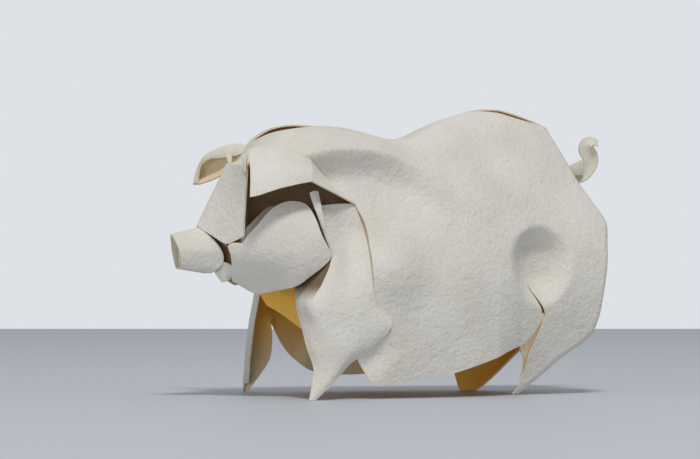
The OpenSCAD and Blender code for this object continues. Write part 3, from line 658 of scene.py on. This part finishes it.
def half_face(s):
    """One half of the face, from its middle ridge out to the cheek."""
    top, mid = ((-46, -12.1, 62.1), (-46.1, -12.5, 57)) if s < 0 else ((-42.9, 10.2, 62.3), (-44.6, 12, 57))
    return soften(rows_grid([
        [(-47.4, 0, 62.9), (-46.6 if s < 0 else -45.4, s * 6, 62.5), top],
        [(-50.3, 0, 57.1), (-47.8, s * 7, 56.6), mid],
        [(-53.2, 0, 51.7), (-49.3, s * 7.8, 49.8), (-46.3, s * 13, 50)],
        [(-56, 0, 46.2), (-50.3, s * cy(-50.3, 40.9), 40.9), (-46.9, s * cy(-46.9, 43), 43)]], 40, 36, False, False), 6)


def face():
    left, right = half_face(-1), half_face(1)
    panel("face", soften(np.concatenate([left[:, ::-1], right[:, 1:]], axis=1), 3), (-1, 0, 0.5), wave=0.06)


def forehead():
    panel("forehead", soften(rows_grid([
        [(-45.9, -12.1, 61.7), (-46.7, -6, 62.1), (-47.5, 0, 62.5), (-45.5, 6, 62.2), (-42.8, 10.2, 61.9)],
        [(-43.2, -10.8, 63.2), (-43.4, -5, 63.8), (-43.6, 0, 64), (-42.8, 5, 63.8), (-41.6, 8.8, 63.3)],
        [(-38.7, -9.9, 66.7), (-39.4, -5, 69), (-39.8, 0, 69.2), (-39.4, 5, 69), (-38.7, 9.7, 66.9)]],
        24, 50, True, False), 3), (-0.3, 0, 1), wave=0.05)


def near_ear():
    """The ear folded down over the neck: its root on the flank, a fold in its middle, and its lower edge."""
    x = np.linspace(-38.6, -30, 30)
    z = np.interp(x, [-38.6, -36, -33.4, -30], [67, 66.1, 64.9, 63.6])
    top = [(-44.9, -11.4, 66.1), (-41.9, -10.7, 67.3)] + [on(-1, a, b, 0.22) for a, b in zip(x, z)]
    mid = [(-46.7, -18.4, 60), (-44.4, -18.6, 60.6), (-40, -19.4, 61.6), (-34.2, -21.8, 60.6), (-30.6, -22.2, 60.8)]
    low = [(-48, -22, 53.4), (-45.8, -22.2, 53.8), (-39.8, -22.6, 55.8), (-34.6, -23, 57), (-31.2, -23.3, 57.6)]
    rows = [along(run(r, 0.3, False), 60, False) for r in (top, mid, low)]
    panel("near_ear", soften(rows_grid(rows, 40, 60, True, False), 4), (0, -1, 0.4), wave=0.1, mats=WHITE)


def hood(name, s):
    """The fold beside the ear, which covers the shoulder's top edge."""
    x = np.linspace(-30, -16.8, 24)
    top = [on(s, a, b, 0.25) for a, b in zip(x, np.interp(x, [-30, -16.8], [63.6, 51.9]))]
    low = along([(-31.2, s * 23.3, 57.6), (-24.6, s * 22, 54.8), on(s, -16.9, 51.7, 0.1)], 23, False)
    panel(name, soften(ruled(top, low, (0, 0, 0), 44, 16, False), 2), (0, s, 0.4), wave=0.05, mats=WHITE)


def far_ear():
    """The raised ear: a scoop with a turned rim and a small fold at its root."""
    rim = [(-39.1, 7, 68.3), (-40.6, 9.5, 68.7), (-41.6, 12, 68.6), (-43.3, 14.6, 68.3), (-44.8, 17, 67.5),
           (-46, 18.8, 66.8), (-47.2, 20, 65.8), (-48.2, 21.2, 64.3), (-48.9, 21.8, 62.4), (-49.6, 22, 60.2),
           (-50.1, 22, 58.1)]
    lip = [(-39.3, 7, 66.6), (-41, 8.6, 65.8), (-42.2, 10.6, 65.3), (-43.6, 12.8, 65.1), (-45.1, 15.2, 65),
           (-46.5, 17.2, 64.9), (-47.5, 18.6, 64.2), (-48.2, 20, 63.2), (-48.6, 20.8, 61.8), (-48.7, 21.2, 60.2),
           (-48.8, 21.4, 58.4)]
    low = [(-39.9, 5.5, 63.3), (-41.4, 7, 62.3), (-43, 9, 61.5), (-44, 11.5, 60.9), (-44.9, 14, 60),
           (-45.9, 16.4, 59.2), (-47, 18.4, 58.6), (-47.9, 20, 58.2), (-48.8, 21, 57.9), (-49.3, 21.6, 57.9),
           (-50, 21.9, 57.9)]
    panel("far_ear", ruled(rim, low, (1.4, 2.4, 0.6), 80, 40), (0.3, 1, 0.5), mats=(IVORY, PAINTED_WARMTH, CREAM))
    panel("far_ear_rim", ruled(rim, lip, (-0.35, -0.6, 0.3), 80, 10), (-0.6, -0.6, 0.6), mats=ROLLED)
    folded("far_ear_fold", [
        [(-43.9, 11.8, 65.9), (-43.4, 10.7, 66), (-42.9, 9.6, 65.8)],
        [(-43.9, 10.2, 64.4), (-43.6, 9.4, 64.3), (-43.3, 8.8, 64.2)],
        [(-43.9, 8.9, 62.5), (-43.8, 8.8, 62.5), (-43.7, 8.6, 62.5)]], 14, 10, (-0.5, -1, 0.2), mats=ROLLED)


def inner_layers():
    """Layers that show at the head: the face's curled edge, a lining behind the cheek, the shoulder's pleat
    and the chest inside."""
    folded("face_curl", [
        [(-46.6, -12.1, 63.6), (-46.2, -12.7, 64.5), (-45.8, -12.3, 64.7)],
        [(-46.6, -12.2, 62.4), (-46.3, -12.9, 62.6), (-45.8, -12.5, 62.7)],
        [(-46.4, -12.3, 60.3), (-46.2, -12.7, 60.3), (-46, -12.4, 60.3)]], 18, 12, (-0.4, -1, 0),
        mats=(CREAM, CREAM, CREAM))
    folded("cheek_lining", [
        [(-47.4, -11.7, 43), (-46.2, -12, 44.9), (-43.8, -12.5, 47.5), (-41, -12.5, 50.1), (-39.2, -12.6, 51.2),
         (-37.4, -12.8, 51.2)],
        [(-46.8, -12.2, 41), (-45.2, -12.8, 43), (-42.9, -13, 46), (-40.4, -12.8, 48.6), (-38.4, -12.8, 50),
         (-36.4, -12.8, 50.4)]], 10, 60, (0, -1, 0), mats=(DIM, DIM, CREAM))
    folded("shoulder_pleat", [
        [(-30.2, -18.5, 54.7), (-29.1, -19, 55.2), (-28, -19, 55.1)],
        [(-29.3, -19.5, 51.3), (-28.5, -20.2, 51.5), (-27.6, -20.1, 51.6)],
        [(-28.4, -20.4, 48.4), (-27.8, -20.9, 48.4), (-27.2, -20.8, 48.4)],
        [(-27.2, -20.8, 44.6), (-26.9, -21.1, 44.6), (-26.6, -21, 44.6)]], 30, 10, (0, -1, 0), mats=WHITE)
    folded("chest", [
        [(-37, 6, 31), (-33, 1, 31.4), (-28.6, -5, 31.8)],
        [(-36, 5.6, 27.6), (-32, 1, 27), (-28, -5.4, 26.4)],
        [(-34.2, 5, 24.6), (-31, 1, 22), (-27.4, -6, 17.8)]], 24, 24, (-0.3, 1, 0.2))


for s, side in SIDES:
    cheek(side + "_cheek", s)
    neck(side + "_neck", s)
face()
forehead()
near_ear()
for s, side in SIDES:
    hood(side + "_hood", s)
far_ear()
inner_layers()

# ---- snout and chin ----

# The snout's cross-section, and x of its back edge from its underside to its top
RING = [(0, 1), (-0.62, 0.55), (-1, -0.1), (-0.72, -0.92), (0, -1), (0.72, -0.92), (1, -0.1), (0.62, 0.55)]
SNOUT_ROOT = [(-1, -52.8), (-0.92, -52), (-0.55, -50.3), (-0.1, -50.6), (0.55, -52.9), (1, -55.3)]
SNOUT_X, SNOUT_Z = -62.2, 39.2  # the middle of its open end
SNOUT_HALF, ROOT_HALF = 3.5, 6.4  # half its width at the open end and at its root


def ring_faces(m, n):
    """Faces of a tube of m rings with n points each."""
    i, j = np.meshgrid(np.arange(m - 1), np.arange(n), indexing="ij")
    a, b = (i * n + j).ravel(), (i * n + (j + 1) % n).ravel()
    return np.stack([a, a + n, b + n, b], axis=1)


def snout():
    n, rings = 64, 25
    q = curve(np.array(RING + RING + RING), np.linspace(8, 16, n + 1)[:-1])
    rows = []
    for t in np.linspace(0, 1, rings):
        w = SNOUT_HALF + (ROOT_HALF - SNOUT_HALF) * t
        x = (SNOUT_X - 0.9 * q[:, 1] + 0.5 * np.abs(q[:, 0])) * (1 - t) + look(q[:, 1], SNOUT_ROOT) * t
        rows.append(np.stack([x, q[:, 0] * w, SNOUT_Z + 0.4 * t + q[:, 1] * (4.4 + 1.6 * t)], axis=1))
    solid("snout", np.array(rows), ring_faces(rings, n),
          lambda P: np.stack([0 * P[:, 0], P[:, 1], P[:, 2] - 39.3], axis=1), mats=(IVORY, SMOOTH, SMOOTH))
    # its sunk end: a fan in the middle, and rings of triangles round it
    k = 12
    disc = [(-59.9 + 0.25 * (1 - (r / k) ** 2), float(a[0]) * 3.45 * r / k, 39.25 + float(a[1]) * 4.4 * r / k)
            for r in range(1, k + 1) for a in q]
    F = [(0, 1 + j, 1 + (j + 1) % n) for j in range(n)]
    for a, c, d, b in 1 + ring_faces(k, n):
        F += [(a, c, d), (a, d, b)]
    solid("snout_end", np.array([(-59.65, 0, 39.25)] + disc), np.array(F), (-1, 0, 0), mats=(SMOOTH, PAINTED_GLOW, CREAM))


def mouth():
    """The lip and the throat behind it, and the chin under the snout, with its edges inside the cheeks."""
    folded("lip", [
        [(-52.3, -2.8, 34.9), (-50.6, -5, 36.5), (-48.2, -9.2, 35.2)],
        [(-51.2, -3.2, 33), (-49.8, -5.2, 33.8), (-47.9, -7, 33.4)],
        [(-50, -3.7, 30.9), (-49, -4.8, 31.2), (-47.2, -4.2, 32)]], 24, 24, (0, -1, 0), mats=WHITE)
    # painted shade: a dark brown sheet that fills the shaded crack behind the snout
    folded("throat", [
        [(-55, 0.5, 45), (-54, -1, 44.2), (-52.6, -3, 43.6)],
        [(-53, -2, 42.6), (-51, -3, 41.4), (-49, -6.4, 40.4)],
        [(-51.2, -3.2, 38.6), (-49.4, -4.4, 38.2), (-47.4, -7.4, 37.6)],
        [(-50.8, -3.4, 36), (-49.2, -4.2, 35.4), (-47.4, -6.6, 34.2)]], 24, 16, (0, -1, 0), 0, mats=SHADED_LINING)
    inset = 0.4
    folded("chin", [
        [(-59, -2.2, 34.6), (-59, 0, 34.4), (-59, 2.2, 34.6)],
        [(-55.8, -3, 34.3), (-55.8, 0, 34), (-55.8, 3, 34.3)],
        [(-52.2, -3.4, 34.4), (-51.2, 0, 34.2), (-50.4, 3, 34.6)],
        [(-49.8, -4, 31.2), (-49, 0, 31.5), (-48, 3.6, 31.9)],
        [(-47.2, -3.8, 32.8), (-47, 0, 33.2), (-47.4, 5, 32.8)],
        [(-44.6, inset - cy(-44.6, 30.9), 30.9), (-44.4, 0, 33.5), (-44.6, cy(-44.6, 32.6) - inset, 32.6)],
        [(-39.4, inset - cy(-39.4, 28.6), 28.6), (-40, 0, 32.4), (-39.4, cy(-39.4, 31) - inset, 31)],
        [(-34.4, inset - cy(-34.4, 30.1), 30.1), (-36, 0, 33), (-34.4, cy(-34.4, 32) - inset, 32)]],
        60, 24, (0, 0, -1), wave=0.05, mats=WHITE)


snout()
mouth()

# ---- tail ----

def tail():
    """A twisted, cupped strip that curls up, and the small tab beside its root."""
    c = [(55.5, 0.4, 60.2), (57.5, 0.2, 60.9), (59, 0, 62.4), (60.1, -0.2, 64.3), (60.1, -0.3, 66.2),
         (58.9, -0.3, 67.9), (58.8, -0.5, 69.5), (60, -0.9, 70.5), (61.3, -1.2, 70.3), (62.1, -1.4, 69.7)]
    n = 110
    # its root runs in through the tucked back end
    root = along([(50.4, 0.4, 60.9), (53, 0.4, 60.3), c[0]], 20)[:-1]
    p = np.vstack([root, along(c, n)])
    d = np.gradient(p, axis=0)
    d /= np.linalg.norm(d, axis=1)[:, None]
    t = np.concatenate([np.zeros(len(root)), np.linspace(0, 1, n + 1)])
    twist = np.radians(np.interp(t, [0, 0.3, 0.6, 0.8, 1], [10, 14, 24, 40, 52]))[:, None]
    half = np.interp(t, [0, 0.2, 0.5, 0.75, 0.9, 1], [3.2, 4.1, 4.3, 3.7, 3.1, 2.5])[:, None] / 2
    across = np.cos(twist) * np.stack([-d[:, 2], 0 * t, d[:, 0]], 1) + np.sin(twist) * np.array([0, 1, 0])
    up = np.cross(across, d)
    cup = 0.55
    G = np.stack([p + across * half * e + up * cup * (1 - e * e) for e in np.linspace(-1, 1, 13)], axis=1)
    panel("tail", G, (0.3, -1, 0.2), thick=0.5, mats=PRESSED)
    folded("tail_root", [
        [(51.2, -0.8, 62.6), (54.4, -1.2, 64), (57.2, -0.6, 65.2)],
        [(51.4, -0.6, 61.2), (54.8, -1.6, 62.5), (57.7, -0.6, 63)],
        [(51.8, -0.4, 59.8), (55.2, -1.4, 60.9), (57.9, -0.2, 61)]], 18, 18, (0, -1, 0), 2, mats=PRESSED)


tail()

# ---- attaching the pieces, floor, light and camera ----

for o in PIECES:
    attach(o, "root")
    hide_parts("folded_pig")

scene = bpy.context.scene

# Metres from here on. The floor is turned so that its far edge is level in the picture.
FLOOR_TURN = math.radians(20)
FLOOR_LEFT, FLOOR_RIGHT, FLOOR_FRONT, FLOOR_REAR = -3, 3, -2, 0.85
CAMERA_AT, CAMERA_AIM = (-0.2853, -0.7508, 0.035), (-0.012, 0, 0.0453)
LAMP_AIM = (0, 0, 0.035)


def lay_floor():
    m = bpy.data.materials.new("floor_grey")
    m.use_nodes = True
    bsdf = m.node_tree.nodes["Principled BSDF"]
    bsdf.inputs["Base Color"].default_value = srgb(196, 200, 208)
    bsdf.inputs["Roughness"].default_value = 0.6
    c, s = math.cos(FLOOR_TURN), math.sin(FLOOR_TURN)
    corners = [(FLOOR_LEFT, FLOOR_FRONT), (FLOOR_RIGHT, FLOOR_FRONT),
               (FLOOR_RIGHT, FLOOR_REAR), (FLOOR_LEFT, FLOOR_REAR)]
    me = bpy.data.meshes.new("floor")
    me.from_pydata([(a * c + b * s, b * c - a * s, 0) for a, b in corners], [], [(0, 1, 2, 3)])
    me.materials.append(m)
    floor = bpy.data.objects.new("floor", me)
    bpy.context.collection.objects.link(floor)


def sky():
    """A soft light on the pig, and a pale backdrop for the rays that show it."""
    world = bpy.data.worlds.new("world")
    scene.world = world
    world.use_nodes = True
    tree = world.node_tree
    soft = tree.nodes["Background"]
    soft.inputs["Color"].default_value = (0.93, 0.95, 1.0, 1)
    soft.inputs["Strength"].default_value = 0.3
    pale = tree.nodes.new("ShaderNodeBackground")
    pale.inputs["Color"].default_value = srgb(222, 225, 230)
    pale.inputs["Strength"].default_value = 1.0
    path = tree.nodes.new("ShaderNodeLightPath")
    seen = path.outputs["Is Camera Ray"]
    for ray in ("Is Glossy Ray", "Is Transmission Ray"):
        either = tree.nodes.new("ShaderNodeMath")
        either.operation = "MAXIMUM"
        tree.links.new(seen, either.inputs[0])
        tree.links.new(path.outputs[ray], either.inputs[1])
        seen = either.outputs[0]
    choose = tree.nodes.new("ShaderNodeMixShader")
    tree.links.new(seen, choose.inputs[0])
    tree.links.new(soft.outputs[0], choose.inputs[1])
    tree.links.new(pale.outputs[0], choose.inputs[2])
    tree.links.new(choose.outputs[0], tree.nodes["World Output"].inputs["Surface"])


def lamp(name, azimuth, elevation, distance, size, watts, colour=(1, 1, 1)):
    """An area lamp aimed at the pig. Azimuth 0 is the -Y side, and grows towards +X."""
    a, e = math.radians(azimuth), math.radians(elevation)
    at = distance * Vector((math.cos(e) * math.sin(a), -math.cos(e) * math.cos(a), math.sin(e)))
    light = bpy.data.lights.new(name, "AREA")
    light.shape = "DISK"
    light.size = size
    light.energy = watts
    light.color = colour
    o = bpy.data.objects.new(name, light)
    o.location = Vector(LAMP_AIM) + at
    o.rotation_euler = (-at).to_track_quat("-Z", "Y").to_euler()
    bpy.context.collection.objects.link(o)


def camera():
    cam = bpy.data.cameras.new("camera")
    cam.lens = 150
    cam.sensor_width = 36
    cam.clip_start = 0.02
    o = bpy.data.objects.new("camera", cam)
    o.location = CAMERA_AT
    o.rotation_euler = (Vector(CAMERA_AIM) - o.location).to_track_quat("-Z", "Y").to_euler()
    bpy.context.collection.objects.link(o)
    scene.camera = o


lay_floor()
sky()
lamp("key", azimuth=-12, elevation=60, distance=1.6, size=0.3, watts=12.2, colour=(1.0, 0.985, 0.955))
lamp("fill", azimuth=-40, elevation=6, distance=1.8, size=0.8, watts=2.4)
lamp("low", azimuth=-66, elevation=2, distance=1.6, size=0.4, watts=2.4)
camera()
scene.view_settings.view_transform = "Standard"
